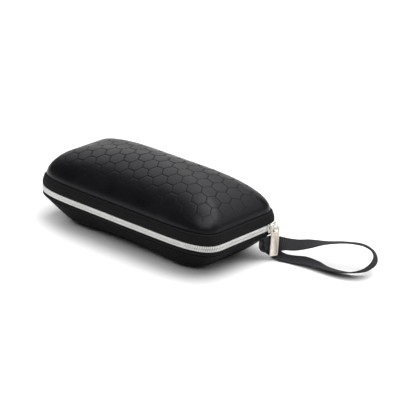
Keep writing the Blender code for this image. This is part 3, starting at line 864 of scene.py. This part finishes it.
def build_slider():
    """Two plates joined by a post: shield-shaped, wider at the end that parts the rows."""
    y = SLIDER_Y
    corners = [(y - 3.9, -3.1), (y + 0.6, -3.5), (y + 3.4, -4.1), (y + 4.0, -2.9), (y + 4.0, 2.9),
               (y + 3.4, 4.1), (y + 0.6, 3.5), (y - 3.9, 3.1)]
    outer = plate_from_outline("slider_outer_plate", rounded_outline(corners, 1.3),
                               SLIDER_FACE_X - 1.0, SLIDER_FACE_X, MATS["slider"], 0.28)
    inner_corners = [(py, 0.66 * pz) for py, pz in corners]
    inner = plate_from_outline("slider_inner_plate", rounded_outline(inner_corners, 1.0),
                               SLIDER_FACE_X - 6.4, SLIDER_FACE_X - 5.6, MATS["slider"], 0.2)
    web = [(y + 1.2, -0.11), (y + 3.7, -0.11), (y + 3.7, 0.11), (y + 1.2, 0.11)]
    post = plate_from_outline("slider_post", web, SLIDER_FACE_X - 5.7, SLIDER_FACE_X - 0.9,
                              MATS["slider"], 0.03)
    for obj in (outer, inner, post):
        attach(obj, "slider")
        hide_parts("slider_body")


def build_crown():
    """Flat bridge on the outer plate with a foot at each end; the link hangs in it."""
    half_span, height = 2.9, 2.3
    half_thick, half_wide = 0.42, 0.62
    side = []
    for t in np.linspace(0.0, 1.0, 41):
        a = math.pi * t
        across = -half_span * math.copysign(abs(math.cos(a)) ** 0.55, math.cos(a))
        rise = height * math.sin(a) ** 0.5
        side.append((SLIDER_FACE_X + rise, SLIDER_Y + across))
    points, around = [], 10
    side = np.array(side)
    tangents = np.gradient(side, axis=0)
    tangents /= np.linalg.norm(tangents, axis=1, keepdims=True)
    for (x, y), (tx, ty) in zip(side, tangents):
        for a in np.linspace(0, 2 * math.pi, around, endpoint=False):
            off = half_thick * math.sin(a)
            points.append((x + off * -ty, y + off * tx, CROWN_Z + half_wide * math.cos(a)))
    faces = grid_faces(len(side), around, False, True) + end_caps(len(side), around)
    crown = new_mesh("slider_crown", points, faces, MATS["slider"])
    recalc(crown)
    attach(crown, "slider")
    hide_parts("slider_bail")


def build_link():
    """Wire ring through the crown and the puller's eye."""
    points = []
    around, wire = 64, 14
    for a in np.linspace(0, 2 * math.pi, around, endpoint=False):
        for b in np.linspace(0, 2 * math.pi, wire, endpoint=False):
            reach = LINK_RADIUS + WIRE_RADIUS * math.cos(b)
            points.append((LINK_X + reach * math.sin(a), SLIDER_Y + WIRE_RADIUS * math.sin(b),
                           LINK_Z + reach * math.cos(a)))
    obj = new_mesh("wire_link", points, grid_faces(around, wire, True, True), MATS["slider"])
    recalc(obj)
    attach(obj, "link")
    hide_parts("puller_link")


def build_puller():
    """Flat bar with a raised border and a rectangular eye, leaning as it hangs."""
    lean, twist = math.radians(3.5), math.radians(20.0)
    half, top, bottom = 3.0, 0.5, -20.3
    border_top, border_wide = -3.7, 0.5
    outline = rounded_outline([(-half, bottom), (half, bottom), (half, top), (-half, top)],
                              [0.7, 0.7, 1.2, 1.2], 6)
    eye = rounded_outline([(-2.0, -3.4), (2.0, -3.4), (2.0, -0.5), (-2.0, -0.5)], 0.5, 4)
    body = plate_from_outline("puller_bar", outline, -0.46, 0.46, MATS["metal"], 0.14, eye)
    border = [(-half, bottom), (half, bottom), (half, border_top), (-half, border_top)]
    side, low, high = half - border_wide, bottom + border_wide, border_top - border_wide
    window = [(-side, low), (side, low), (side, high), (-side, high)]
    frame_piece = plate_from_outline(
        "puller_border", rounded_outline(border, [0.7, 0.7, 0.2, 0.2], 6), -0.6, 0.6,
        MATS["metal"], 0.12, rounded_outline(window, 0.4, 4))
    turn = Matrix.Translation(Vector(MIDDLE) * MM)
    turn = turn @ Matrix.Translation(Vector((LINK_X, SLIDER_Y, PULLER_Z)) * MM)
    turn = turn @ Matrix.Rotation(-twist, 4, "Z") @ Matrix.Rotation(-lean, 4, "X")
    turn = turn @ Matrix.Translation(-Vector(MIDDLE) * MM)
    for obj in (body, frame_piece):
        obj.data.transform(turn)
        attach(obj, "puller")
        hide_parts("puller")


# ---------------------------------------------------------------- wrist strap

# Stations along the middle of the ribbon: place, and the direction of its width.
STRAP = (
    # hangs out of the seam under the slider
    ((82.3, 19.5, -5.6), (0.0, 1.0, 0.0)),
    ((82.3, 19.3, -8.0), (0.0, 1.0, 0.2)),
    # folds on the diagonal towards the back
    ((82.4, 18.7, -9.9), (0.0, 1.0, 0.45)),
    ((82.4, 22.5, -13.0), (0.0, 0.7, 0.8)),
    ((82.6, 26.5, -16.5), (0.0, 0.7, 0.7)),
    # drops under the puller and lies down
    ((85.2, 28.5, -20.3), (-0.3, 0.8, 0.25)),
    ((89.5, 29.5, -21.2), (-0.5, 0.8, 0.1)),
    ((96.0, 31.5, -21.2), (-0.5, 0.8, 0.1)),
    ((105.0, 33.0, -20.0), (-0.6, 0.8, 0.1)),
    ((113.0, 34.0, -20.0), (-0.5, 0.8, 0.0)),
    ((122.0, 34.5, -20.5), (-0.5, 0.8, -0.2)),
    ((132.0, 35.5, -20.0), (-0.5, 0.8, -0.3)),
    # far bend of the loop, standing on one edge
    ((141.0, 38.5, -19.0), (-0.5, 0.7, -0.4)),
    ((147.0, 43.5, -17.0), (-0.4, 0.75, -0.5)),
    ((149.0, 49.5, -14.0), (-0.3, 0.8, -0.5)),
    ((147.5, 54.0, -11.0), (-0.3, 0.8, -0.5)),
    ((143.0, 56.0, -8.0), (-0.4, 0.8, -0.4)),
    # comes back above the lower run
    ((135.0, 55.0, -6.0), (-0.5, 0.8, -0.3)),
    ((125.0, 50.0, -6.0), (-0.6, 0.7, -0.3)),
    ((114.5, 43.5, -7.5), (-0.6, 0.8, -0.2)),
    ((105.0, 38.0, -9.5), (-0.6, 0.75, 0.2)),
    ((96.0, 35.0, -12.0), (-0.45, 0.75, 0.4)),
    ((88.5, 32.0, -12.6), (-0.35, 0.7, 0.55)),
    # passes behind the puller and folds up into the same seam
    ((83.9, 27.5, -12.2), (0.0, 0.3, 0.95)),
    ((83.8, 22.5, -10.8), (0.0, 0.75, 0.75)),
    ((83.6, 21.0, -7.6), (0.0, 1.0, 0.2)),
    ((83.5, 20.8, -5.4), (0.0, 1.0, 0.0)),
)
STRAP_FOLDS = (2, 24)       # stations on a folded corner, where the ribbon lies doubled
FOLD_STRETCH = 1.15
STRAP_RIB = 1.25            # distance between two ribs
STRAP_RIB_HEIGHT = 0.15
# Half of the ribbon's section: distance from its middle, half thickness and whether it is ribbed.
STRAP_SECTION = (
    (0.0, 0.34, 1.0), (2.0, 0.34, 1.0), (4.1, 0.34, 1.0), (4.3, 0.40, 0.0), (4.85, 0.34, 0.0),
    (5.0, 0.15, 0.0),
)


def spline(points, count):
    """Smooth curve through points, sampled evenly by its first three columns, and its length."""
    points = np.asarray(points, float)
    padded = np.concatenate([[2 * points[0] - points[1]], points, [2 * points[-1] - points[-2]]])
    out = []
    for i in range(len(points) - 1):
        a, b, c, d = padded[i : i + 4]
        for t in np.linspace(0.0, 1.0, 60, endpoint=False):
            out.append(0.5 * (2 * b + (c - a) * t + (2 * a - 5 * b + 4 * c - d) * t**2
                              + (3 * b - a - 3 * c + d) * t**3))
    out.append(points[-1])
    out = np.array(out)
    run = run_length(out[:, :3])
    even = np.linspace(0.0, run[-1], count)
    return np.stack([np.interp(even, run, out[:, k]) for k in range(out.shape[1])], -1), run[-1]


def build_strap():
    """Ribbed ribbon with plain edges; its width turns with the stations."""
    stations = np.array([place + width + (FOLD_STRETCH if i in STRAP_FOLDS else 1.0,)
                         for i, (place, width) in enumerate(STRAP)])
    line, length = spline(stations, 720)
    centre, wide, stretch = line[:, :3], line[:, 3:6], line[:, 6:]
    along = np.gradient(centre, axis=0)
    along /= np.linalg.norm(along, axis=1, keepdims=True)
    wide = wide - along * np.sum(wide * along, axis=1, keepdims=True)
    wide /= np.linalg.norm(wide, axis=1, keepdims=True)
    normal = np.cross(along, wide)
    wide = wide * stretch
    run = np.linspace(0.0, length, len(centre))
    rib = 0.5 + 0.5 * np.cos(2 * math.pi * run / STRAP_RIB)
    rib *= 1.0 - np.clip((stretch[:, 0] - 1.0) / 0.08, 0.0, 1.0)    # pressed flat at the folds
    section = [(-d, thick, ribbed) for d, thick, ribbed in STRAP_SECTION[:0:-1]]
    section += STRAP_SECTION
    points, uvs = [], []
    for side, half in ((1.0, section), (-1.0, section[::-1])):
        for across, thick, ribbed in half:
            height = thick + STRAP_RIB_HEIGHT * ribbed * rib
            points.append(centre + wide * across + normal * (side * height)[:, None])
            uvs.append(np.column_stack([run, np.full(len(run), across)]))
    rows, columns = len(points), len(centre)
    faces = grid_faces(rows, columns, True, False)
    faces.append([i * columns for i in range(rows)])
    faces.append([i * columns + columns - 1 for i in reversed(range(rows))])
    obj = new_mesh("strap_ribbon", np.concatenate(points), faces, MATS["strap"],
                   np.concatenate(uvs))
    recalc(obj)
    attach(obj, "base")
    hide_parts("wrist_strap")


# ---------------------------------------------------------------- scene

def plain_floor():
    """Pale matt floor."""
    mesh = bpy.data.meshes.new("floor")
    size = 6.0
    mesh.from_pydata([(-size, -size, 0), (size, -size, 0), (size, size, 0), (-size, size, 0)],
                     [], [(0, 1, 2, 3)])
    mat, tree, shader = start_material("floor_white")
    shader.inputs["Base Color"].default_value = (0.70, 0.70, 0.70, 1.0)
    shader.inputs["Roughness"].default_value = 0.9
    shader.inputs["Specular IOR Level"].default_value = 0.0
    mesh.materials.append(mat)
    floor = bpy.data.objects.new("floor", mesh)
    bpy.context.scene.collection.objects.link(floor)


def area_light(name, place, target, size, power):
    """Rectangular lamp at a place, in metres, that faces its target."""
    data = bpy.data.lights.new(name, "AREA")
    data.shape = "RECTANGLE"
    data.size, data.size_y = size
    data.energy = power
    obj = bpy.data.objects.new(name, data)
    obj.location = place
    obj.rotation_euler = (Vector(target) - Vector(place)).to_track_quat("-Z", "Y").to_euler()
    bpy.context.scene.collection.objects.link(obj)
    return obj


def studio_lights():
    """Soft lamps above and behind, a weak one at each end and one in front."""
    world = bpy.data.worlds.new("studio")
    world.use_nodes = True
    world.node_tree.nodes["Background"].inputs["Color"].default_value = (1.0, 1.0, 1.0, 1.0)
    world.node_tree.nodes["Background"].inputs["Strength"].default_value = 0.08
    bpy.context.scene.world = world

    area_light("overhead", (-0.2, 0.82, 1.25), (-0.2, 0.81, 0.0), (3.6, 1.6), 33)
    area_light("top", (0.45, 0.25, 1.4), (0.45, 0.25, 0.0), (1.9, 1.1), 21)
    area_light("behind", (-0.95, 1.25, 0.55), (0.0, 0.0, 0.03), (2.2, 0.7), 5)
    area_light("right", (1.2, 0.9, 0.7), (0.0, 0.0, 0.03), (0.9, 0.7), 3)
    left = area_light("left", (-1.3, 0.7, 0.75), (0.05, 0.0, 0.0), (1.0, 1.0), 8)
    left.visible_glossy = False     # lightens the shadow without a reflection in the cover
    area_light("front", (0.6, -0.85, 1.5), (0.0, 0.0, 0.0), (1.8, 1.3), 26)


def build_camera():
    """Camera on a sphere round the case, aimed a little right of its middle."""
    azimuth, elevation, roll = math.radians(44.7), math.radians(22.3), math.radians(0.57)
    distance, aim_right, aim_down = 1.413, 0.0351, 0.0028
    back = Vector((math.sin(azimuth) * math.cos(elevation),
                   -math.cos(azimuth) * math.cos(elevation), math.sin(elevation)))
    right = Vector((math.cos(azimuth), math.sin(azimuth), 0.0))
    up = back.cross(right)
    middle = Vector(MIDDLE) * MM
    data = bpy.data.cameras.new("camera")
    data.lens = 180.4
    data.sensor_width = 36.0
    data.clip_start = 0.05
    camera = bpy.data.objects.new("camera", data)
    aim = middle + right * aim_right - up * aim_down
    camera.location = middle + back * distance
    turn = (camera.location - aim).to_track_quat("Z", "Y").to_matrix()
    camera.rotation_euler = (turn @ Matrix.Rotation(roll, 3, "Z")).to_euler()
    bpy.context.scene.collection.objects.link(camera)
    bpy.context.scene.camera = camera
    bpy.context.scene.view_settings.view_transform = "Standard"
    bpy.context.scene.view_settings.look = "None"


def dress_cad_nodes():
    """Materials of the CAD nodes that stay in view."""
    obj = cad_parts["upper_shell"]
    obj.data.materials.clear()
    obj.data.materials.append(MATS["foam"])


def main():
    studio_lights()
    build_camera()
    build_strap()
    build_cover()
    build_lid_lining()
    build_bands()
    build_hinge()
    build_teeth()
    build_stops()
    build_bindings()
    build_lower_shell()
    build_base_lining()
    build_slider()
    build_crown()
    build_link()
    build_puller()
    dress_cad_nodes()
    plain_floor()


main()
